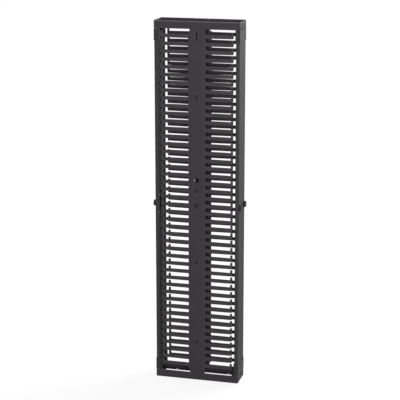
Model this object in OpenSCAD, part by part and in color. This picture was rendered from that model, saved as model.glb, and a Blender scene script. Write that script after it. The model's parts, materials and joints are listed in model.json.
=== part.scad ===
// Double-sided vertical cable manager for server racks, with a latched door at the front and rear.
// +Z is up, the front door faces -Y and the finger combs line the two sides at -X and +X.
// The origin is on the floor, at the middle of the footprint. All lengths are millimetres.

/* [Frame] */
// Overall height of the frame
frame_h = 2130; // [1900:1:2300]
// Overall width across the two sides of the end rings
frame_w = 152.4; // [146:0.2:220]
// Depth between the front and rear skirts of the end rings
frame_d = 500; // [470:1:620]
// Height of the walls of an end ring
ring_h = 44.45; // [40:0.05:60]
// Sheet thickness of an end ring
ring_t = 2; // [1.5:0.1:3]
// Width of the inward flange of an end ring
ring_flange = 25; // [22:0.5:32]
// Outside bend radius of the corners of an end ring
ring_r = 3; // [2.5:0.1:6]

/* [Top ring] */
// Width of the two notches in each skirt of the top ring
notch_w = 10; // [6:0.5:16]
// Height of the notches
notch_h = 22; // [12:0.5:26]
// Distance from the middle of the skirt out to each notch
notch_x = 31; // [20:0.5:40]

/* [Floor anchors] */
// Diameter of the anchor holes in the ring flanges
anchor_d = 11; // [6:0.5:13]
// Distance between the anchor holes from front to rear
anchor_pitch_y = 320; // [200:1:360]

/* [Spines] */
// Width of the web of a spine channel
spine_w = 84; // [76:0.5:100]
// Depth of the side walls of a spine channel
spine_depth = 30; // [26:0.5:36]
// Sheet thickness of a spine channel
spine_t = 2; // [1.5:0.1:2.5]
// Width of the return lips of a spine channel
spine_lip = 12; // [11:0.5:16]
// Outside bend radius of a spine channel
spine_r = 3; // [2.6:0.1:4]
// Diameter of the two round holes in the web
web_hole_d = 28; // [16:0.5:32]
// Distance between the two round holes
web_hole_pitch = 152.4; // [100:0.1:200]
// Width of the rack mounting slots
slot_w = 7; // [5:0.1:10]
// End-to-end length of the rack mounting slots
slot_len = 26; // [16:0.5:40]

/* [Fingers] */
// Vertical pitch of the fingers, one rack unit
unit = 44.45; // [42:0.05:46]
// Height of a finger bar at its root
finger_h = 21.5; // [16:0.5:23]
// Height of a finger bar at its tip
finger_tip_h = 19; // [14:0.5:22]
// Thickness of a finger and of the comb strip behind it
comb_t = 7.5; // [5:0.1:9]
// Width of the comb strip that joins the fingers
comb_strip = 7; // [6:0.5:12]
// Distance from the tips of the fingers to the face of the door in front of them
tip_to_door = 36; // [35:0.5:60]
// Width of the hook at the tip of a finger
hook_w = 12.5; // [6:0.5:14]
// Height of the hook above its finger
hook_h = 17.5; // [8:0.5:18]
// Fillet where a finger meets the comb strip
root_r = 5; // [3:0.5:8]
// Thickness of the mounting wall of a comb
comb_wall = 3; // [2:0.1:4]
// Width of the mounting wall, measured inward from the back of the strip
comb_wall_w = 16; // [14.5:0.5:18]
// Thickness of the stiffening rib behind each finger
rib_t = 3; // [2:0.1:4]

/* [Doors] */
// Distance from the skirt of the ring back to the face of the door
door_setback = 1; // [0.5:0.1:4]
// Distance from the side of the ring in to the side of the door
door_side_gap = 2; // [1.6:0.1:5]
// Depth of the door section, face to lip
door_depth = 22; // [18:0.5:23]
// Sheet thickness of the door
door_t = 1.5; // [1:0.1:1.8]
// Outside corner radius of the door
door_r = 5; // [3:0.5:7]
// Width of the return lips of the door
door_lip = 9; // [7:0.5:10]
// Height of the moulded caps at the ends of the door
cap_h = 67; // [50:1:90]
// Gap between a cap and the ring next to it
cap_gap = 2.5; // [2.2:0.1:4]
// Distance that a cap stands out past the skirt of the ring
cap_proud = 1.5; // [0.8:0.1:3]

/* [Latches] */
// Diameter of a latch knob
knob_d = 36; // [28:0.5:40]
// Height of a latch knob above the door
knob_h = 14; // [10:0.5:20]
// Distance from a pin in toward the middle of the door to its knob
knob_inset = 12; // [11:0.5:13]
// Diameter of the pins at the ends of the rods
pin_d = 8; // [7:0.1:9]
// Diameter of the rods between the latch and the pins
rod_d = 6; // [4:0.1:6]
// Module of the pinion and the racks
gear_module = 1.5; // [1.4:0.05:1.5]
// Length of a pin that shows past its cap when it is shot
pin_throw = 10; // [8:0.5:11]

/* [Hidden] */

$fn = 48;
// Smallest overshoot that makes a cut run clean through a face
eps = 0.5;
fit = 0.2;                  // clearance round a part that seats in another
running = 0.06;             // radial clearance of a pin in its bush
half_w = frame_w / 2;
half_d = frame_d / 2;
ring_in_x = half_w - ring_t;        // inside face of a ring's side wall
ring_in_y = half_d - ring_t;
flange_r = 4;                       // corners of the opening in the floor flange

// Spines
spine_x = ring_in_x;                // outside face of a spine web
spine_lip_x = spine_x - spine_depth;
mid_z = frame_h / 2;
tie_count = 5;
tie_h = 40;
tie_t = 2;
tie_depth = 60;
tie_drop = 15;
tie_slot = [30, 8];                 // length and width of the two lacing slots in a tie
tie_inset = 190;                    // from each end of the frame to the first tie
tie_pitch = (frame_h - 2 * tie_inset) / (tie_count - 1);
tie_z = [for (i = [0:tie_count - 1]) tie_inset + i * tie_pitch];

// Combs: as many fingers as the frame is tall enough for, shared out over the combs of a column
combs_per_column = 5;
first_finger_z = 2 * unit;
top_margin = 55;
finger_count = floor((frame_h - first_finger_z - top_margin) / unit) + 1;
comb_low = finger_h / 2 + root_r + 2 - unit;    // lower end of a comb, from its first finger
// Rack mounting slots, counted in rack units above the first finger
slot_units = [3.25, 14.25, finger_count - 21, finger_count - 8.75];
top_slot_unit = finger_count - 1;
top_slot_extra = 20;                // the uppermost slot is this much longer
comb_gap = 1;                       // between two combs of a column
comb_inset = 0.5;                   // outside face of a comb, in from the web of its spine
comb_x = spine_x - comb_inset;
comb_back_x = comb_x - comb_t;
comb_y = spine_w / 2;               // where the combs seat on the side walls of the spines
tip_y = half_d - door_setback - tip_to_door;
finger_len = tip_y - comb_y;
rib_reach = 0.7 * finger_len;
rib_depth = 6;
comb_screw_x = comb_back_x - comb_wall_w / 2;

// Screws: thread radius, head radius and head height
comb_screw = [2, 3.5, 2.4];
tie_screw = [2.5, 4.5, 3];
bolt_r = 3;
bolt_head_r = 5.2;
bolt_y = spine_w / 4;
bolt_nut_r = 5.5;
bolt_nut_h = 4;

// Doors
door_face = half_d - door_setback;  // outside face of the door, as a distance from the middle
door_back = door_face - door_depth;
door_half_w = half_w - door_side_gap;
cap_face = half_d + cap_proud;
cap_back = door_back - 4;
cap_floor = 3;
cap_z = ring_h + cap_gap;           // underside of the bottom cap
door_z = cap_z + cap_floor + fit;   // lower end of the door panel
cap_block_w = 25;                   // width of the bored block in each corner of a cap

// Pins and bushes
pin_x = half_w - 14.2;
pin_y = door_face - 8;
knob_x = pin_x - knob_inset;
bush_wall = 1.2;
bush_r = pin_d / 2 + running + bush_wall;
bush_flange_r = bush_r + 1.2;
plate_t = 2.5;
plate_w = ring_in_x - pin_x + 11;
plate_y_in = pin_y - 31;
plate_drop = 27;
bush_flange_t = 1.2;
plate_z = ring_h - bush_flange_t - 0.75;    // top face of the bottom plates
pin_tip_z = cap_z - pin_throw;
pin_chamfer = 2;

// Rack and pinion
teeth = 12;
pitch_r = gear_module * teeth / 2;
tooth_pitch = PI * gear_module;
travel = tooth_pitch * teeth / 4;   // a quarter turn of the knob
pressure_angle = 20;
backlash = 0.3;
pinion_add = 0.8 * gear_module;
rack_add = 0.66 * gear_module;
pinion_ded = 0.87 * gear_module;
rack_ded = 1.0 * gear_module;
base_r = pitch_r * cos(pressure_angle);
gear_t = 6;                         // thickness of the racks and the pinion
gear_y0 = pin_y - gear_t / 2;
rack_back = 5.9 + rack_ded / 2;     // pitch line to the back of a rack
shaft_r = 5;
journal_r = 3;
knob_z = mid_z;
rack_x_out = knob_x + pitch_r;      // pitch line of the rack on the outer side
rack_x_in = knob_x - pitch_r;
jog_z = -44;                        // lower rod: underside of the cross leg, from the knob's axis
jog_h = 6;
rod_start = 30;                     // height above the axis at which the upper rod starts

// Latch case
case_wall = 2;
case_y_in = gear_y0 - 0.5 - case_wall;      // back of the case
case_x0 = rack_x_in - rack_back - fit;      // cavity, inner side
case_x1 = rack_x_out + rack_back + fit;     // cavity, outer side
case_up = 40;
case_down = 50;
ear_r = 6.5;
ear_x = knob_x - 8;
stud_r = 2;
nut_r = 4;
nut_h = 3.2;

// ---------------------------------------------------------------- shared shapes

// Rectangle of 2D corners [x0, y0] to [x1, y1] with rounded corners
module rounded(x0, y0, x1, y1, r) {
    translate([x0 + r, y0]) square([x1 - x0 - 2 * r, y1 - y0]);
    translate([x0, y0 + r]) square([x1 - x0, y1 - y0 - 2 * r]);
    for (x = [x0 + r, x1 - r], y = [y0 + r, y1 - r]) translate([x, y]) circle(r = r);
}

// Cylinder along Y from y0 to y1
module bar_y(x, z, y0, y1, r) {
    translate([x, y1, z]) rotate([90, 0, 0]) cylinder(r = r, h = y1 - y0);
}

// Cylinder along X from x0 to x1
module bar_x(y, z, x0, x1, r) {
    translate([x0, y, z]) rotate([0, 90, 0]) cylinder(r = r, h = x1 - x0);
}

module on_both_sides_x() {
    children();
    mirror([1, 0, 0]) children();
}

module on_both_sides_y() {
    children();
    mirror([0, 1, 0]) children();
}

module at_top() {
    translate([0, 0, frame_h]) mirror([0, 0, 1]) children();
}

module turned_to_rear() {
    rotate([0, 0, 180]) children();
}

// ---------------------------------------------------------------- frame

// The four walls of a ring, with the holes for the bolts that hold the spines
module ring_walls() {
    difference() {
        linear_extrude(ring_h) rounded(-half_w, -half_d, half_w, half_d, ring_r);
        translate([0, 0, -eps]) linear_extrude(ring_h + 2 * eps)
            rounded(-ring_in_x, -ring_in_y, ring_in_x, ring_in_y, ring_r - ring_t);
        on_both_sides_x() on_both_sides_y() bolt_cut();
    }
}

// Inward flange at the floor, with the anchor holes
module floor_flange() {
    difference() {
        linear_extrude(ring_t) rounded(-half_w, -half_d, half_w, half_d, ring_r);
        translate([0, 0, -eps]) linear_extrude(ring_t + 2 * eps)
            rounded(-half_w + ring_flange, -half_d + ring_flange,
                half_w - ring_flange, half_d - ring_flange, flange_r);
        on_both_sides_x() on_both_sides_y()
            translate([half_w - (ring_flange + ring_t) / 2, anchor_pitch_y / 2, -eps])
                cylinder(d = anchor_d, h = ring_t + 2 * eps);
    }
}

// Countersunk hole for one of the bolts that hold a spine in the ring
module bolt_cut() {
    translate([half_w - ring_t, bolt_y, ring_h / 2]) rotate([0, 90, 0])
        cylinder(r1 = bolt_r + 0.2, r2 = bolt_head_r + 0.2, h = ring_t);
    bar_x(bolt_y, ring_h / 2, half_w - ring_t - eps, half_w + eps, bolt_r + 0.2);
}

module bottom_ring() {
    color("#2b2c2e") {
        ring_walls();
        floor_flange();
    }
}

module top_ring() {
    color("#2b2c2e") at_top() difference() {
        ring_walls();
        on_both_sides_x() on_both_sides_y() translate([notch_x, half_d + eps, ring_h - notch_h])
            rotate([90, 0, 0]) linear_extrude(ring_t + 2 * eps) {
                translate([0, notch_w / 2]) circle(d = notch_w);
                translate([-notch_w / 2, notch_w / 2]) square([notch_w, notch_h]);
            }
    }
}

// Angle welded into the corner of a ring, with the hole that a pin's bush sits in
module pin_plate() {
    x0 = ring_in_x - plate_w;
    snip = ring_r - ring_t;             // clears the bend inside the corner of the ring
    difference() {
        union() {
            translate([0, 0, plate_z - plate_t]) linear_extrude(plate_t)
                polygon([[x0, plate_y_in], [ring_in_x, plate_y_in], [ring_in_x, ring_in_y - snip],
                    [ring_in_x - snip, ring_in_y], [x0, ring_in_y]]);
            translate([ring_in_x - plate_t, plate_y_in, plate_z - plate_drop])
                cube([plate_t, ring_in_y - snip - plate_y_in, plate_drop - plate_t + 0.1]);
        }
        translate([pin_x, pin_y, plate_z - plate_t - eps]) cylinder(r = bush_r + 0.02, h = plate_t + 2 * eps);
    }
}

module pin_bush() {
    body = plate_t + 4;
    translate([pin_x, pin_y, 0]) difference() {
        union() {
            translate([0, 0, plate_z - body]) cylinder(r = bush_r, h = body);
            translate([0, 0, plate_z]) cylinder(r = bush_flange_r, h = bush_flange_t);
        }
        translate([0, 0, plate_z - body - eps])
            cylinder(d = pin_d + 2 * running, h = body + bush_flange_t + 2 * eps);
    }
}

module bottom_pin_plates() {
    color("#2b2c2e") on_both_sides_x() on_both_sides_y() pin_plate();
}

module top_pin_plates() {
    color("#2b2c2e") at_top() on_both_sides_x() on_both_sides_y() pin_plate();
}

module bottom_pin_bushes() {
    color("#d8d4c8") on_both_sides_x() on_both_sides_y() pin_bush();
}

module top_pin_bushes() {
    color("#d8d4c8") at_top() on_both_sides_x() on_both_sides_y() pin_bush();
}

// Plan section of the spine on the +X side: a channel with return lips, open toward the middle
module spine_section() {
    difference() {
        rounded(spine_lip_x, -spine_w / 2, spine_x, spine_w / 2, spine_r);
        rounded(spine_lip_x + spine_t, -spine_w / 2 + spine_t, spine_x - spine_t,
            spine_w / 2 - spine_t, spine_r - spine_t);
        translate([spine_lip_x - eps, -spine_w / 2 + spine_lip])
            square([spine_t + 2 * eps, spine_w - 2 * spine_lip]);
    }
}

module web_slot(z, len) {
    translate([spine_x - spine_t - eps, 0, z]) rotate([0, 90, 0])
        linear_extrude(spine_t + 2 * eps)
            rounded(-len / 2, -slot_w / 2, len / 2, slot_w / 2, slot_w / 2 - 0.01);
}

function first_of(i) = floor(i * finger_count / combs_per_column);
function fingers_on(i) = first_of(i + 1) - first_of(i);
function comb_z(i) = first_finger_z + first_of(i) * unit;
function comb_h(i) = fingers_on(i) * unit - comb_gap;
// Screws sit level with the gaps, a short way in from each end of a comb and at its middle
function comb_screw_z(i) = [for (k = [0, floor(fingers_on(i) / 2), fingers_on(i) - 2])
    comb_z(i) + (k + 0.5) * unit];

module spine() {
    difference() {
        translate([0, 0, ring_t]) linear_extrude(frame_h - 2 * ring_t) spine_section();
        for (z = [mid_z, mid_z + web_hole_pitch])
            bar_x(0, z, spine_x - spine_t - eps, spine_x + eps, web_hole_d / 2);
        for (u = slot_units) web_slot(first_finger_z + u * unit, slot_len);
        web_slot(first_finger_z + top_slot_unit * unit, slot_len + top_slot_extra);
        on_both_sides_y() {
            for (i = [0:combs_per_column - 1], z = comb_screw_z(i))
                bar_y(comb_screw_x, z, comb_y - spine_t - eps, comb_y + eps, comb_screw[0] + 0.1);
            for (z = tie_z)
                bar_x(spine_w / 2 - spine_lip / 2, z, spine_lip_x - eps, spine_lip_x + spine_t + eps,
                    tie_screw[0] + 0.1);
            for (z = [ring_h / 2, frame_h - ring_h / 2])
                bar_x(bolt_y, z, spine_x - spine_t - eps, spine_x + eps, bolt_r + 0.2);
        }
    }
}

module right_spine() {
    color("#2b2c2e") spine();
}

module left_spine() {
    color("#2b2c2e") mirror([1, 0, 0]) spine();
}

// Bridge between the two spines: a shelf with down-turned edges and an end plate at each side
module tie() {
    end_y = spine_w / 2 - spine_r;
    difference() {
        union() {
            translate([-spine_lip_x, -tie_depth / 2, tie_h / 2 - tie_t])
                cube([2 * spine_lip_x, tie_depth, tie_t]);
            on_both_sides_y() translate([-spine_lip_x, tie_depth / 2 - tie_t, tie_h / 2 - tie_drop])
                cube([2 * spine_lip_x, tie_t, tie_drop]);
            on_both_sides_x() translate([spine_lip_x - tie_t, -end_y, -tie_h / 2])
                cube([tie_t, 2 * end_y, tie_h]);
        }
        on_both_sides_y() bar_x(spine_w / 2 - spine_lip / 2, 0, -spine_lip_x - eps,
            spine_lip_x + eps, tie_screw[0] + 0.1);
        for (x = [-spine_lip_x / 2, spine_lip_x / 2]) translate([x, 0, 0])
            linear_extrude(tie_h) rounded(-tie_slot[1] / 2, -tie_slot[0] / 2, tie_slot[1] / 2,
                tie_slot[0] / 2, tie_slot[1] / 2 - 0.01);
    }
}

module spine_ties() {
    color("#303133") for (z = tie_z) translate([0, 0, z]) tie();
}

module tie_screw_one() {
    y = spine_w / 2 - spine_lip / 2;
    head_x = spine_lip_x - tie_t;
    bar_x(y, 0, head_x - tie_screw[2], head_x, tie_screw[1]);
    bar_x(y, 0, head_x - 1, spine_lip_x + spine_t + 3, tie_screw[0]);
}

module tie_screws() {
    color("#55575a") for (z = tie_z) translate([0, 0, z])
        on_both_sides_x() on_both_sides_y() tie_screw_one();
}

module spine_bolt() {
    nut_x = spine_x - spine_t;
    translate([half_w - ring_t, bolt_y, ring_h / 2]) rotate([0, 90, 0])
        cylinder(r1 = bolt_r, r2 = bolt_head_r, h = ring_t - 0.05);
    bar_x(bolt_y, ring_h / 2, nut_x - bolt_nut_h - 1.5, half_w - 1, bolt_r);
    translate([nut_x - bolt_nut_h, bolt_y, ring_h / 2]) rotate([0, 90, 0])
        cylinder(r = bolt_nut_r, h = bolt_nut_h, $fn = 6);
}

module spine_bolts() {
    color("#55575a") on_both_sides_x() on_both_sides_y() {
        spine_bolt();
        at_top() spine_bolt();
    }
}

// ---------------------------------------------------------------- finger combs

// Side view of one finger, drawn outward from the side wall of the spine, centred on height 0
module finger_outline() {
    top = finger_tip_h / 2;
    tip_r = 5;
    hook_r = 3;
    polygon([[comb_strip - 1, -finger_h / 2], [finger_len - tip_r, -top], [finger_len, -top + tip_r],
        [finger_len, top], [comb_strip - 1, finger_h / 2]]);
    translate([finger_len - tip_r, -top + tip_r]) circle(r = tip_r);
    rounded(finger_len - hook_w, 0, finger_len, top + hook_h, hook_r);
    // inner fillet of the hook
    translate([finger_len - hook_w - hook_r, top - 0.1]) difference() {
        square([hook_r + 0.1, hook_r + 0.1]);
        translate([0, hook_r + 0.1]) circle(r = hook_r);
    }
    // root fillets
    for (s = [0, 1]) mirror([0, s]) translate([comb_strip - 0.1, finger_h / 2 - 0.2]) difference() {
        square([root_r + 0.1, root_r + 0.1]);
        translate([root_r + 0.1, root_r + 0.1]) circle(r = root_r);
    }
}

module comb_outline(i) {
    translate([0, comb_low]) square([comb_strip, comb_h(i)]);
    for (k = [0:fingers_on(i) - 1]) translate([0, k * unit]) finger_outline();
}

// Comb i of a column, for the +X side with its fingers reaching toward +Y
module comb(i) {
    translate([0, 0, comb_z(i)]) difference() {
        union() {
            translate([comb_back_x, comb_y, 0]) rotate([90, 0, 90]) linear_extrude(comb_t) comb_outline(i);
            translate([comb_back_x - comb_wall_w, comb_y, comb_low])
                cube([comb_wall_w + 1, comb_wall, comb_h(i)]);
            for (k = [0:fingers_on(i) - 1]) translate([0, comb_y, k * unit - rib_t / 2])
                linear_extrude(rib_t) polygon([[comb_back_x + 0.5, 1], [comb_back_x + 0.5, rib_reach],
                    [comb_back_x - rib_depth, comb_strip], [comb_back_x - rib_depth, 1]]);
        }
        for (z = comb_screw_z(i)) bar_y(comb_screw_x, z - comb_z(i), comb_y - eps,
            comb_y + comb_wall + eps, comb_screw[0] + 0.2);
    }
}

// Each comb: node name, side (1 is +X), end (1 is +Y), place in its column
COMBS = [for (s = [["left", -1], ["right", 1]], e = [["front", -1], ["rear", 1]],
    i = [1:combs_per_column]) [str(s[0], "_", e[0], "_comb_", i), s[1], e[1], i - 1]];

module comb_at(c) {
    color("#34363a") placed(c[1], c[2]) comb(c[3]);
}

module comb_screw_one() {
    seat = comb_y + comb_wall;
    bar_y(comb_screw_x, 0, seat, seat + comb_screw[2], comb_screw[1]);
    bar_y(comb_screw_x, 0, comb_y - spine_t - 3, seat + 1, comb_screw[0]);
}

module comb_screws() {
    color("#55575a") for (i = [0:combs_per_column - 1], z = comb_screw_z(i)) translate([0, 0, z])
        on_both_sides_x() on_both_sides_y() comb_screw_one();
}

// ---------------------------------------------------------------- doors (drawn at +Y, used at both ends)

// Plan section of the door sheet, grown by g on every face
module door_section(g) {
    w = door_half_w + g;
    t = door_t + 2 * g;
    difference() {
        rounded(-w, door_back - g, w, door_face + g, door_r + g);
        rounded(-w + t, door_back - g + t, w - t, door_face + g - t, max(0.4, door_r + g - t));
        translate([-w + door_lip + 2 * g, door_back - 1 - g])
            square([2 * (w - door_lip - 2 * g), t + 1 + eps]);
    }
}

module door() {
    difference() {
        translate([0, 0, door_z]) linear_extrude(frame_h - 2 * door_z) door_section(0);
        for (x = [-knob_x, knob_x]) bar_y(x, knob_z, door_face - door_t - eps, door_face + eps,
            shaft_r + 0.08);
    }
}

// Moulded cap over the lower end of the door, bored for the two pins
module cap() {
    block_x = door_half_w - door_t - fit;
    translate([0, 0, cap_z]) difference() {
        linear_extrude(cap_h) rounded(-half_w, cap_back, half_w, cap_face, door_r);
        translate([0, 0, cap_floor]) linear_extrude(cap_h) door_section(fit);
        translate([-block_x + cap_block_w, cap_back - eps, cap_floor])
            cube([2 * (block_x - cap_block_w), door_face - cap_back - 3.5 + eps, cap_h]);
        on_both_sides_x() translate([pin_x, pin_y, -eps])
            cylinder(r = pin_d / 2 + 0.15, h = cap_h + 2 * eps);
        for (x = [-stud_x, stud_x])
            bar_y(x, cap_stud_z - cap_z, cap_back, door_face, stud_r + fit);
    }
}

stud_x = 20;
cap_stud_z = cap_z + cap_h / 2;

module door_caps(top) {
    color("#2d2e30") {
        if (top) at_top() cap();
        else cap();
    }
}

// Welded stud with its nut, along Y from the inside of the door's face to the seat of the nut
module stud(x, z, seat) {
    bar_y(x, z, seat - nut_h - 1.5, door_face - door_t, stud_r);
    translate([x, seat, z]) rotate([90, 0, 0]) cylinder(r = nut_r, h = nut_h, $fn = 6);
}

module door_studs() {
    cap_seat = door_face - 3.5;
    on_both_sides_x() {
        stud(stud_x, cap_stud_z, cap_seat);
        at_top() stud(stud_x, cap_stud_z, cap_seat);
        for (z = ear_z) stud(ear_x, knob_z + z, case_y_in);
    }
}

// ---------------------------------------------------------------- latches (drawn for the +X side)

ear_z = [case_up + ear_r, -case_down - ear_r];

module latch_case() {
    y1 = door_face - door_t;
    difference() {
        union() {
            translate([case_x0 - case_wall, case_y_in, knob_z - case_down])
                cube([case_x1 - case_x0 + 2 * case_wall, y1 - case_y_in, case_up + case_down]);
            for (z = ear_z) {
                bar_y(ear_x, knob_z + z, case_y_in, y1, ear_r);
                translate([ear_x - ear_r, case_y_in, knob_z + (z > 0 ? z - ear_r - 1 : z)])
                    cube([2 * ear_r, y1 - case_y_in, ear_r + 1]);
            }
        }
        translate([case_x0, case_y_in + case_wall, knob_z - case_down + case_wall])
            cube([case_x1 - case_x0, y1 - case_y_in, case_up + case_down - 2 * case_wall]);
        for (z = ear_z) bar_y(ear_x, knob_z + z, case_y_in - eps, y1 + eps, stud_r + fit);
        bar_y(knob_x, knob_z, case_y_in - eps, y1, journal_r + 0.1);
        // way out for the two rods
        translate([pin_x, pin_y, knob_z]) for (s = [-1, 1]) {
            len = max(case_up, case_down) + 1;
            translate([0, 0, s > 0 ? 0 : -len]) cylinder(r = rod_d / 2 + 0.4, h = len);
        }
    }
}

function inv_angle(a) = tan(a) * 180 / PI - a;
function flank_angle(r, half) = half + inv_angle(pressure_angle) - inv_angle(acos(min(1, base_r / r)));

// One pinion tooth with involute flanks, pointing along +X
module pinion_tooth() {
    half = 90 / teeth - backlash / 4 / pitch_r * 180 / PI;
    steps = 5;
    r_out = pitch_r + pinion_add;
    rs = [for (i = [0:steps]) base_r + (r_out - base_r) * i / steps];
    lower = [for (r = rs) [r * cos(flank_angle(r, half)), -r * sin(flank_angle(r, half))]];
    upper = [for (i = [steps:-1:0]) [lower[i][0], -lower[i][1]]];
    foot = pitch_r - pinion_ded - 0.5;
    edge = flank_angle(base_r, half);
    polygon(concat([[foot * cos(edge), -foot * sin(edge)]], lower, upper,
        [[foot * cos(edge), foot * sin(edge)]]));
}

// Pinion with its shaft: the gear, the long end that carries the knob and the short journal
module pinion() {
    y_out = door_face + knob_h - 5;
    translate([knob_x, gear_y0 + gear_t, knob_z]) rotate([90, 0, 0]) linear_extrude(gear_t) {
        circle(r = pitch_r - pinion_ded);
        for (i = [0:teeth - 1]) rotate(i * 360 / teeth) pinion_tooth();
    }
    bar_y(knob_x, knob_z, gear_y0 + gear_t - 1, y_out, shaft_r);
    bar_y(knob_x, knob_z, case_y_in, gear_y0 + 1, journal_r);
}

// Rack teeth along Z that point toward -X from the pitch line at x = 0, with a gap at height 0
module rack_teeth(from, to) {
    tip = tooth_pitch / 4 - backlash / 4 - rack_add * tan(pressure_angle);
    root = tooth_pitch / 4 - backlash / 4 + rack_ded * tan(pressure_angle);
    for (k = [from:to]) translate([0, (k + 0.5) * tooth_pitch])
        polygon([[-rack_add, -tip], [rack_ded + 0.01, -root], [rack_ded + 0.01, root], [-rack_add, tip]]);
}

// Pin that stands on its chamfered end
module pin(len) {
    r = pin_d / 2;
    rotate_extrude() polygon([[0, 0], [r - pin_chamfer + 0.5, 0], [r, pin_chamfer], [r, len], [0, len]]);
}

// Rod that shoots the top pin: rack on the outer side of the pinion, drawn shot
module upper_rod() {
    end = frame_h - pin_tip_z;
    pin_from = frame_h - cap_z - cap_h - travel - 4;
    translate([rack_x_out, gear_y0 + gear_t, knob_z]) rotate([90, 0, 0]) linear_extrude(gear_t) {
        rack_teeth(-1, 4);
        translate([rack_ded, -6]) square([rack_back - rack_ded, rod_start + 12]);
    }
    translate([pin_x, pin_y, 0]) {
        translate([0, 0, knob_z + rod_start]) cylinder(d = rod_d, h = pin_from - knob_z - rod_start + 1);
        translate([0, 0, end]) mirror([0, 0, 1]) pin(end - pin_from);
    }
}

// Rod that shoots the bottom pin: rack on the inner side, with a cross leg under the pinion
module lower_rod() {
    pin_to = cap_z + cap_h + travel + 4;
    translate([rack_x_in, gear_y0 + gear_t, knob_z]) rotate([90, 0, 0]) linear_extrude(gear_t) {
        mirror([1, 0]) rack_teeth(-5, 0);
        translate([-rack_back, jog_z]) square([rack_back - rack_ded, 6 - jog_z]);
        translate([-rack_back, jog_z]) square([pin_x + rod_d / 2 - rack_x_in + rack_back, jog_h]);
    }
    translate([pin_x, pin_y, 0]) {
        translate([0, 0, pin_to - 1]) cylinder(d = rod_d, h = knob_z + jog_z + 1 - pin_to + 1);
        translate([0, 0, pin_tip_z]) pin(pin_to - pin_tip_z);
    }
}

// Fluted knob that fits over the outer end of the pinion shaft
module knob() {
    y0 = door_face + 0.3;
    edge = 2.5;
    flutes = 12;
    translate([knob_x, y0, knob_z]) rotate([-90, 0, 0]) difference() {
        rotate_extrude() {
            square([knob_d / 2 - 1.5, knob_h - 0.3]);
            translate([0, 2]) square([knob_d / 2, knob_h - 0.3 - 2 - edge]);
            translate([knob_d / 2 - edge, knob_h - 0.3 - edge]) circle(r = edge);
            square([knob_d / 2 - edge, knob_h - 0.3]);
        }
        for (i = [0:flutes - 1]) rotate(i * 360 / flutes) translate([knob_d / 2 + 2, 0, 3])
            cylinder(r = 3.2, h = knob_h);
        translate([0, 0, -eps]) cylinder(r = shaft_r + 0.1, h = knob_h - 5 + eps);
    }
}

// Rods that are drawn back are moved by one quarter turn of their knob
module rod_at(upper, shot) {
    color("#8b8e92") translate([0, 0, shot ? 0 : (upper ? -travel : travel)]) {
        if (upper) upper_rod();
        else lower_rod();
    }
}

// The hinge side of each door has its pins shot, the opening side has them drawn back.
// Each rod: node name, side (1 is +X), end (1 is +Y), upper, shot
RODS = [for (e = [["front", -1], ["rear", 1]], s = [["left", -1], ["right", 1]], u = [true, false])
    [str(e[0], "_", s[0], "_", u ? "upper" : "lower", "_rod"), s[1], e[1], u, s[1] * e[1] < 0]];
// Each knob and pinion: start of the node name, side, end
LATCHES = [for (e = [["front", -1], ["rear", 1]], s = [["left", -1], ["right", 1]])
    [str(e[0], "_", s[0]), s[1], e[1]]];

// Moves a shape drawn for +X and +Y to its own side and end
module placed(side, end) {
    mirror([side < 0 ? 1 : 0, 0, 0]) mirror([0, end < 0 ? 1 : 0, 0]) children();
}

// ---------------------------------------------------------------- nodes

bottom_ring();
top_ring();
bottom_pin_plates();
top_pin_plates();
bottom_pin_bushes();
top_pin_bushes();
left_spine();
right_spine();
spine_ties();
tie_screws();
spine_bolts();
for (c = COMBS) comb_at(c);
comb_screws();
color("#3a3b3d") turned_to_rear() door();  // front_door
color("#3a3b3d") door();  // rear_door
turned_to_rear() door_caps(false);  // front_door_bottom_cap
turned_to_rear() door_caps(true);  // front_door_top_cap
door_caps(false);  // rear_door_bottom_cap
door_caps(true);  // rear_door_top_cap
color("#26272a") turned_to_rear() on_both_sides_x() latch_case();  // front_latch_cases
color("#26272a") on_both_sides_x() latch_case();  // rear_latch_cases
color("#8b8e92") turned_to_rear() door_studs();  // front_door_studs
color("#8b8e92") door_studs();  // rear_door_studs
for (l = LATCHES) {
    color("#1d1e20") placed(l[1], l[2]) knob();
    color("#9a9da1") placed(l[1], l[2]) pinion();
}
for (r = RODS) placed(r[1], r[2]) rod_at(r[3], r[4]);
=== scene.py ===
# %% [markdown]
# # A double-sided vertical cable manager
# This is a tall black frame that stands between two server racks and keeps their cables in
# order. Two bent steel rings and two steel channels make the frame, rows of moulded fingers
# guide the cables, and a thin steel door closes the front and another the rear. The shapes could
# be modelled here, but every size would then have to be kept right in two places. So the solids
# come from the CAD model, and this file gives them their finishes and stands them in a small
# studio.

# %% Load the CAD model
import json
import math

import bpy
from mathutils import Matrix, Vector


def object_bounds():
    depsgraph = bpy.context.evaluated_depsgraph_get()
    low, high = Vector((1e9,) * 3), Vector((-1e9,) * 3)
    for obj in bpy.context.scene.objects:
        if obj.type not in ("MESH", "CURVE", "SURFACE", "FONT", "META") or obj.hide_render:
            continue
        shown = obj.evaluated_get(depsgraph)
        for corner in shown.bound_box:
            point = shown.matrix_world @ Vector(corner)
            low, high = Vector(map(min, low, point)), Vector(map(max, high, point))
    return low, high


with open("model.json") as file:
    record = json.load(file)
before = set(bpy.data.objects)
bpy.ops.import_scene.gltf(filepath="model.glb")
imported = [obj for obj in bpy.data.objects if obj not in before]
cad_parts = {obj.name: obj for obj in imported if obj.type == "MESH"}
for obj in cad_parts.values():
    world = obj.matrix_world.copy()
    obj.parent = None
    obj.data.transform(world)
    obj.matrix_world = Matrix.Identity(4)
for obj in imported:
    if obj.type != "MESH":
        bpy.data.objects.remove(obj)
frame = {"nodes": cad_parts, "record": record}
cad_nodes = frame["nodes"]
cad_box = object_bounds()
print(len(cad_nodes), "CAD nodes, box", cad_box)

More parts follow.
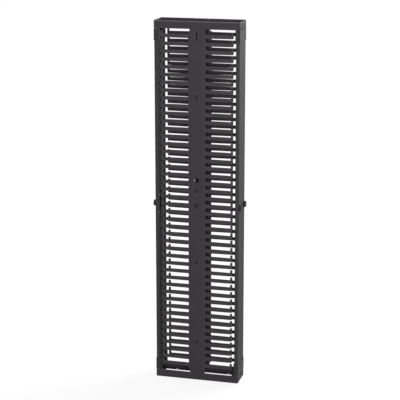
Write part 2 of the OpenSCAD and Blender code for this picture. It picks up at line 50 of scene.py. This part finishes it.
# %% [markdown]
# ## Colours and nodes
# Paint charts and colour pickers give sRGB hex values, but the shader works in linear light.
# One function does that conversion for every colour in this file. A second small function adds
# a shader node together with its settings and its links, so each material below reads as a
# short list of what feeds what. The nodes could also be wired by hand in the shader editor, but
# a script keeps every value where it can be read and changed.


# %% Colours in linear light
def linear(hex_colour):
    channels = [int(hex_colour[i : i + 2], 16) / 255 for i in (1, 3, 5)]
    return [c / 12.92 if c <= 0.04045 else ((c + 0.055) / 1.055) ** 2.4 for c in channels] + [1.0]


print("sRGB #808080 is", round(linear("#808080")[0], 3), "in linear light")


# %% Shader nodes
def add_node(tree, kind, settings=None, **inputs):
    # A socket goes by its name, or by i and its number where several sockets share a name
    node = tree.nodes.new(kind)
    for name, value in (settings or {}).items():
        setattr(node, name, value)
    for name, value in inputs.items():
        by_number = name[0] == "i" and name[1:].isdigit()
        socket = node.inputs[int(name[1:]) if by_number else name.replace("_", " ")]
        if isinstance(value, bpy.types.NodeSocket):
            tree.links.new(value, socket)
        else:
            socket.default_value = value
    return node


def new_material(name):
    material = bpy.data.materials.new(name)
    material.use_nodes = True
    material.node_tree.nodes.clear()
    return material, material.node_tree


def per_metre(size_mm):
    return 1000 / size_mm


print("a pattern of 2.5 mm repeats", per_metre(2.5), "times in a metre")

# %% [markdown]
# ## Worn edges
# Edges that hands and cables rub turn a little lighter and smoother than the sheet around them.
# They could be painted by hand on each piece, but the combs alone have thousands of edges. Here
# they are found with a bevel node: where its rounded normal leans away from the true one, there
# is an edge. A noise breaks the wear up, so that it isn't a drawn line.

# %% Find the edges that are rubbed
flat_dot, edge_dot = 0.995, 0.85        # dot product of the rounded and the true normal
patch_low, patch_high = 0.35, 0.65      # noise levels between which the wear comes in


def worn_edges(tree, place, reach_mm, patch_mm):
    rounded = add_node(tree, "ShaderNodeBevel", {"samples": 4}, Radius=reach_mm / 1000)
    true_normal = add_node(tree, "ShaderNodeNewGeometry").outputs["Normal"]
    lean = add_node(tree, "ShaderNodeVectorMath", {"operation": "DOT_PRODUCT"},
        i0=rounded.outputs[0], i1=true_normal)
    edge = add_node(tree, "ShaderNodeMapRange", Value=lean.outputs["Value"],
        From_Min=flat_dot, From_Max=edge_dot)
    patches = add_node(tree, "ShaderNodeTexNoise", Vector=place, Scale=per_metre(patch_mm),
        Detail=3.0)
    rubbed = add_node(tree, "ShaderNodeMapRange", Value=patches.outputs["Fac"],
        From_Min=patch_low, From_Max=patch_high)
    return add_node(tree, "ShaderNodeMath", {"operation": "MULTIPLY"},
        i0=edge.outputs["Result"], i1=rubbed.outputs["Result"]).outputs[0]


print("an edge counts in full where the normals lean by",
    round(math.degrees(math.acos(edge_dot))), "degrees")

# %% [markdown]
# ## The painted highlight along the top ring
# Light from above catches the upper edge of the top ring, and that highlight is painted here: a
# narrow band along the outside of its upper edge is drawn in a lighter colour. A mask could be
# painted for that one piece, but two measures are enough. The height of a point says whether it
# is in the band. The dot product of its normal and its place, counted from the middle of the
# frame, says which way it faces: on the inner faces of the ring it is negative, so they stay as
# they are.

# %% Find the band of painted highlight
frame_top = cad_box[1][2]
highlight_start_mm, highlight_full_mm = 7.5, 3      # below the top of the frame
outside_dot = 0.02                      # from here on a face counts as an outer one in full


# Painted highlight: a lighter band on the outer faces just below the top of the frame
def painted_top_highlight(tree, place):
    height = add_node(tree, "ShaderNodeSeparateXYZ", Vector=place)
    band = add_node(tree, "ShaderNodeMapRange", Value=height.outputs["Z"],
        From_Min=frame_top - highlight_start_mm / 1000, From_Max=frame_top - highlight_full_mm / 1000)
    normal = add_node(tree, "ShaderNodeNewGeometry").outputs["Normal"]
    outward = add_node(tree, "ShaderNodeVectorMath", {"operation": "DOT_PRODUCT"},
        i0=normal, i1=place)
    outside = add_node(tree, "ShaderNodeMapRange", Value=outward.outputs["Value"],
        From_Max=outside_dot)
    return add_node(tree, "ShaderNodeMath", {"operation": "MULTIPLY"},
        i0=band.outputs["Result"], i1=outside.outputs["Result"]).outputs[0]


print("the band runs up to", round(frame_top, 3), "m")

# %% [markdown]
# ## Powder-coated steel
# The rings, channels and doors are mild steel with a matt black powder coat. The powder melts
# into a skin with a faint orange-peel ripple, which breaks up reflections, so the black looks
# soft and slightly grey. The ripple could be modelled, but it would take millions of faces, so
# a bump stands in for it. A real ripple is about 1 mm across, too fine for a view of the whole
# object, so it is drawn at 2.5 mm. A broad cloud of 90 mm is laid over it as the slow
# unevenness of a sprayed sheet, in the colour and in the sheen. The matting agent in the powder
# holds the reflection far below the 0.5 of a clear coat.

# %% Powder coat
ripple_mm, ripple_height_mm = 2.5, 0.05
sheet_cloud_mm = 90
cloud_low, cloud_high = 0.3, 0.7        # noise levels that are stretched to the full range
sheen_spread = 0.04                     # roughness above and below the middle
coat_wear_reach_mm, coat_wear_patch_mm = 1.2, 12
coat_wear_polish = 0.15                 # roughness that the wear takes off


def powder_coat(name, colour, light_colour, wear_and_highlight_colour, roughness, reflection):
    material, tree = new_material(name)
    place = add_node(tree, "ShaderNodeTexCoord").outputs["Object"]
    ripple = add_node(tree, "ShaderNodeTexNoise", Vector=place, Scale=per_metre(ripple_mm),
        Detail=3.0)
    cloud = add_node(tree, "ShaderNodeTexNoise", Vector=place, Scale=per_metre(sheet_cloud_mm),
        Detail=4.0)
    spread = add_node(tree, "ShaderNodeMapRange", Value=cloud.outputs["Fac"],
        From_Min=cloud_low, From_Max=cloud_high)
    sheet = add_node(tree, "ShaderNodeMix", {"data_type": "RGBA"}, i0=spread.outputs["Result"],
        i6=linear(colour), i7=linear(light_colour))
    edges = worn_edges(tree, place, coat_wear_reach_mm, coat_wear_patch_mm)
    # Worn edges and the painted highlight along the top ring share one mask
    wear_and_highlight = add_node(tree, "ShaderNodeMath", {"operation": "MAXIMUM"}, i0=edges,
        i1=painted_top_highlight(tree, place)).outputs[0]
    tone = add_node(tree, "ShaderNodeMix", {"data_type": "RGBA"}, i0=wear_and_highlight, i6=sheet.outputs[2],
        i7=linear(wear_and_highlight_colour))
    sheen = add_node(tree, "ShaderNodeMapRange", Value=cloud.outputs["Fac"],
        From_Min=cloud_low, From_Max=cloud_high,
        To_Min=roughness - sheen_spread, To_Max=roughness + sheen_spread)
    rubbed = add_node(tree, "ShaderNodeMath", {"operation": "MULTIPLY_ADD"}, i0=wear_and_highlight,
        i1=-coat_wear_polish, i2=sheen.outputs["Result"])
    bump = add_node(tree, "ShaderNodeBump", Height=ripple.outputs["Fac"], Strength=0.5,
        Distance=ripple_height_mm / 1000)
    shader = add_node(tree, "ShaderNodeBsdfPrincipled", Base_Color=tone.outputs[2],
        Roughness=rubbed.outputs[0], IOR=1.5, Specular_IOR_Level=reflection,
        Normal=bump.outputs["Normal"])
    add_node(tree, "ShaderNodeOutputMaterial", Surface=shader.outputs[0])
    return material


# The fourth colour is both the worn edges and the painted highlight along the top ring
frame_coat = powder_coat("powder_coated_frame_steel", "#302e30", "#363336", "#525052", 0.65, 0.12)
door_coat = powder_coat("powder_coated_door_steel", "#2c2b2c", "#323132", "#424142", 0.7, 0.17)
print("made", frame_coat.name, "and", door_coat.name)

# %% [markdown]
# ## Moulded plastic
# The finger combs, door caps, latch cases and knobs are injection-moulded ABS. The mould is
# spark-eroded, which leaves a very fine even grain, so the plastic has a soft dull shine. The
# grain could be a noise, but that looks lumpy, so small Voronoi cells make it. It is really
# 0.1 mm, and is drawn at 0.8 mm so that it still softens the highlights. The melt flows
# unevenly, which shows as faint lighter and darker clouds about 60 mm across. Cables that slide
# over the fingers polish their edges.

# %% Moulded ABS
grain_mm = 0.8
flow_cloud_mm = 60
abs_wear_reach_mm, abs_wear_patch_mm = 0.8, 20
abs_wear_polish = 0.2


def moulded_abs(name, colour, light_colour, polished_colour, roughness, reflection,
        grain_height_mm):
    material, tree = new_material(name)
    place = add_node(tree, "ShaderNodeTexCoord").outputs["Object"]
    grain = add_node(tree, "ShaderNodeTexVoronoi", Vector=place, Scale=per_metre(grain_mm))
    flow = add_node(tree, "ShaderNodeTexNoise", Vector=place, Scale=per_metre(flow_cloud_mm),
        Detail=3.0)
    body = add_node(tree, "ShaderNodeMix", {"data_type": "RGBA"}, i0=flow.outputs["Fac"],
        i6=linear(colour), i7=linear(light_colour))
    polish = worn_edges(tree, place, abs_wear_reach_mm, abs_wear_patch_mm)
    tone = add_node(tree, "ShaderNodeMix", {"data_type": "RGBA"}, i0=polish, i6=body.outputs[2],
        i7=linear(polished_colour))
    sheen = add_node(tree, "ShaderNodeMath", {"operation": "MULTIPLY_ADD"}, i0=polish,
        i1=-abs_wear_polish, i2=roughness)
    bump = add_node(tree, "ShaderNodeBump", Height=grain.outputs["Distance"], Strength=0.4,
        Distance=grain_height_mm / 1000)
    shader = add_node(tree, "ShaderNodeBsdfPrincipled", Base_Color=tone.outputs[2],
        Roughness=sheen.outputs[0], IOR=1.53, Specular_IOR_Level=reflection,
        Normal=bump.outputs["Normal"])
    add_node(tree, "ShaderNodeOutputMaterial", Surface=shader.outputs[0])
    return material


comb_abs = moulded_abs("moulded_comb_abs", "#2d2b2d", "#322f32", "#403e40", 0.65, 0.2, 0.03)
cap_abs = moulded_abs("moulded_cap_abs", "#222122", "#272627", "#373637", 0.6, 0.18, 0.03)
knob_abs = moulded_abs("moulded_knob_abs", "#131213", "#161516", "#222122", 0.5, 0.2, 0.01)
case_abs = moulded_abs("moulded_case_abs", "#19181a", "#1d1c1e", "#2a292b", 0.6, 0.2, 0.03)
print("made", comb_abs.name, cap_abs.name, knob_abs.name, "and", case_abs.name)

# %% [markdown]
# ## Natural nylon
# The door pins turn in moulded bushes of undyed nylon, a waxy off-white plastic that slides
# well without grease. It lets some light in, which could be done with subsurface scattering,
# but only the rims of the bushes show. So one soft cloud of 8 mm is enough to keep the plastic
# from looking like paint.

# %% Nylon
nylon_cloud_mm = 8


def natural_nylon():
    material, tree = new_material("natural_nylon")
    place = add_node(tree, "ShaderNodeTexCoord").outputs["Object"]
    cloud = add_node(tree, "ShaderNodeTexNoise", Vector=place, Scale=per_metre(nylon_cloud_mm),
        Detail=2.0)
    tone = add_node(tree, "ShaderNodeMix", {"data_type": "RGBA"}, i0=cloud.outputs["Fac"],
        i6=linear("#d8d3c4"), i7=linear("#e2ddd0"))
    shader = add_node(tree, "ShaderNodeBsdfPrincipled", Base_Color=tone.outputs[2],
        Roughness=0.45, IOR=1.53)
    add_node(tree, "ShaderNodeOutputMaterial", Surface=shader.outputs[0])
    return material


bush_nylon = natural_nylon()
print("made", bush_nylon.name)

# %% [markdown]
# ## Zinc-plated steel
# The rods, pinions, studs and nuts are zinc-plated, which gives steel a pale, slightly mottled
# shine. The screws and bolts have a black zinc coat. Both are metals, so the colour of the
# plating tints the reflections. A picture of real plating could be wrapped around the parts, but
# they are small and many. Plating grows unevenly in patches of about 6 mm that vary in both tone
# and gloss, and one noise can drive the two.

# %% Plated steel
mottle_mm = 6
mottle_spread = 0.08                    # roughness above and below the middle


def plated_steel(name, dark, light, roughness):
    material, tree = new_material(name)
    place = add_node(tree, "ShaderNodeTexCoord").outputs["Object"]
    mottle = add_node(tree, "ShaderNodeTexNoise", Vector=place, Scale=per_metre(mottle_mm),
        Detail=4.0)
    tone = add_node(tree, "ShaderNodeMix", {"data_type": "RGBA"}, i0=mottle.outputs["Fac"],
        i6=linear(dark), i7=linear(light))
    sheen = add_node(tree, "ShaderNodeMapRange", Value=mottle.outputs["Fac"],
        To_Min=roughness - mottle_spread, To_Max=roughness + mottle_spread)
    shader = add_node(tree, "ShaderNodeBsdfPrincipled", Base_Color=tone.outputs[2],
        Metallic=1.0, Roughness=sheen.outputs["Result"])
    add_node(tree, "ShaderNodeOutputMaterial", Surface=shader.outputs[0])
    return material


zinc_plate = plated_steel("zinc_plated_steel", "#8f9296", "#b4b7ba", 0.38)
black_zinc = plated_steel("black_zinc_steel", "#29292a", "#333335", 0.5)
print("made", zinc_plate.name, "and", black_zinc.name)

# %% [markdown]
# ## Which part wears which finish
# The record lists a material slot for every CAD node. The materials could be set node by node,
# but one table that turns each slot into a material made above leaves no part without a finish.

# %% Give every CAD part its finish
finishes = {
    "frame_paint": frame_coat,
    "door_paint": door_coat,
    "comb_plastic": comb_abs,
    "cap_plastic": cap_abs,
    "knob_plastic": knob_abs,
    "case_plastic": case_abs,
    "bush_nylon": bush_nylon,
    "zinc_steel": zinc_plate,
    "black_screws": black_zinc,
}
for entry in frame["record"]["subparts"]:
    for slot in cad_nodes[entry["node"]].material_slots:
        slot.material = finishes[entry["material_slot"]]

# %% [markdown]
# ## The floor
# The object stands on a pale floor that runs on to a white background. A floor of white paint
# would throw so much light back up that the object looked flat. So two shaders are added up on
# it: mid-grey paint, which catches the light and the object's shadow, and a glow that only the
# camera and reflections see. Together they reach white, and where the paint is in shadow the
# sum falls short of white. The lamps light the paint most near the object, so the glow is
# weaker there.

# %% Floor
near_glow, far_glow = 0.87, 0.98
near_edge, far_edge = 1.0, 7.0          # metres from the object
floor_size = 200                        # metres, so its far edge lies at the horizon


def seen_directly(tree):
    path = add_node(tree, "ShaderNodeLightPath")
    sharp = add_node(tree, "ShaderNodeMath", {"operation": "MAXIMUM"},
        i0=path.outputs["Is Camera Ray"], i1=path.outputs["Is Glossy Ray"])
    return add_node(tree, "ShaderNodeMath", {"operation": "MAXIMUM"}, i0=sharp.outputs[0],
        i1=path.outputs["Is Transmission Ray"]).outputs[0]


def pale_floor():
    material, tree = new_material("pale_floor")
    place = add_node(tree, "ShaderNodeTexCoord").outputs["Object"]
    distance = add_node(tree, "ShaderNodeVectorMath", {"operation": "LENGTH"}, i0=place)
    level = add_node(tree, "ShaderNodeMapRange", Value=distance.outputs["Value"],
        From_Min=near_edge, From_Max=far_edge, To_Min=near_glow, To_Max=far_glow)
    strength = add_node(tree, "ShaderNodeMath", {"operation": "MULTIPLY"},
        i0=seen_directly(tree), i1=level.outputs["Result"])
    paint = add_node(tree, "ShaderNodeBsdfDiffuse", Color=linear("#595959"))
    glow = add_node(tree, "ShaderNodeEmission", Color=linear("#ffffff"),
        Strength=strength.outputs[0])
    both = add_node(tree, "ShaderNodeAddShader", i0=paint.outputs[0], i1=glow.outputs[0])
    add_node(tree, "ShaderNodeOutputMaterial", Surface=both.outputs[0])
    return material


bpy.ops.mesh.primitive_plane_add(size=floor_size)
floor = bpy.context.object
floor.name = "studio_floor"
floor.data.materials.append(pale_floor())
print("floor of", floor_size, "m, glow", near_glow, "to", far_glow)

# %% [markdown]
# ## The room
# White walls around the object would light it from every side and take its shadows away. So
# the world has two strengths: the camera and reflections see a white backdrop at a strength of
# 1, and everything else gets the dim, even light of a grey room.

# %% Backdrop and room light
world = bpy.context.scene.world or bpy.data.worlds.new("studio")
bpy.context.scene.world = world
world.use_nodes = True
sky_tree = world.node_tree
sky_tree.nodes.clear()
backdrop = add_node(sky_tree, "ShaderNodeBackground", Color=linear("#ffffff"), Strength=1.0)
room = add_node(sky_tree, "ShaderNodeBackground", Color=linear("#ffffff"), Strength=0.25)
sky = add_node(sky_tree, "ShaderNodeMixShader", i0=seen_directly(sky_tree),
    i1=room.outputs[0], i2=backdrop.outputs[0])
add_node(sky_tree, "ShaderNodeOutputWorld", Surface=sky.outputs[0])
print("world has", len(sky_tree.nodes), "nodes")

# %% [markdown]
# ## The soft boxes
# Point lamps would draw hard shadows of 180 fingers across each other. A picture of a studio
# wrapped around the scene would be soft, but its lights couldn't be set one by one. So every
# lamp is a large square. A big one far off on the left lights the long side evenly and reaches
# in between the fingers, a nearer, higher one at the right front makes the door grow darker
# downwards, and a third keeps the back from going black.


# %% Soft boxes
def soft_box(name, place, target, side, power):
    lamp = bpy.data.lights.new(name, "AREA")
    lamp.shape = "RECTANGLE"
    lamp.size = lamp.size_y = side
    lamp.energy = power
    lamp_object = bpy.data.objects.new(name, lamp)
    lamp_object.location = place
    toward = Vector(target) - Vector(place)
    lamp_object.rotation_euler = toward.to_track_quat("-Z", "Y").to_euler()
    bpy.context.scene.collection.objects.link(lamp_object)
    print(name, "is", side, "m wide,", power, "W, and", round(toward.length, 2), "m away")


soft_box("big_soft_box", (-7.0, -2.0, 3.4), (0, 0, 1.0), side=3.0, power=590)
soft_box("right_front_soft_box", (3.0, -2.2, 3.6), (0, 0, 1.4), side=2.0, power=282)
soft_box("back_soft_box", (3.0, 5.5, 3.4), (0, 0, 1.1), side=2.5, power=190)

# %% [markdown]
# ## The camera
# A short lens close by would make the tall uprights lean in toward the floor. A long lens from
# nearly eight metres away keeps them almost parallel. The view is mostly of the left side,
# turned a little to the front and looking slightly down. The camera's axes are built from those
# angles rather than aimed at a point, so that the roll can be set as well.

# %% Camera
camera_place = (-7.374, -1.997, 2.974)
azimuth, elevation, roll = (math.radians(degrees) for degrees in (-74.847, 13.896, -0.01))
back = Vector((math.sin(azimuth) * math.cos(elevation), -math.cos(azimuth) * math.cos(elevation),
    math.sin(elevation)))
right = Vector((math.cos(azimuth), math.sin(azimuth), 0))
up = back.cross(right)
right, up = (right * math.cos(roll) + up * math.sin(roll),
    up * math.cos(roll) - right * math.sin(roll))
lens = bpy.data.cameras.new("studio_camera")
lens.sensor_width = 36                  # mm, as is the focal length
lens.lens = 121.695
lens.clip_end = 100
camera = bpy.data.objects.new("studio_camera", lens)
axes = Matrix((right, up, back)).transposed().to_4x4()
camera.matrix_world = Matrix.Translation(camera_place) @ axes
bpy.context.scene.collection.objects.link(camera)
bpy.context.scene.camera = camera
to_middle = Vector((0, 0, frame_top / 2)) - Vector(camera_place)
print("lens of", round(lens.lens, 1), "mm,", round(to_middle.length, 2), "m from the middle")

# %% [markdown]
# ## The last steps
# The Standard view transform shows each colour as it is written above.

# %% Standard colours
bpy.context.scene.view_settings.view_transform = "Standard"
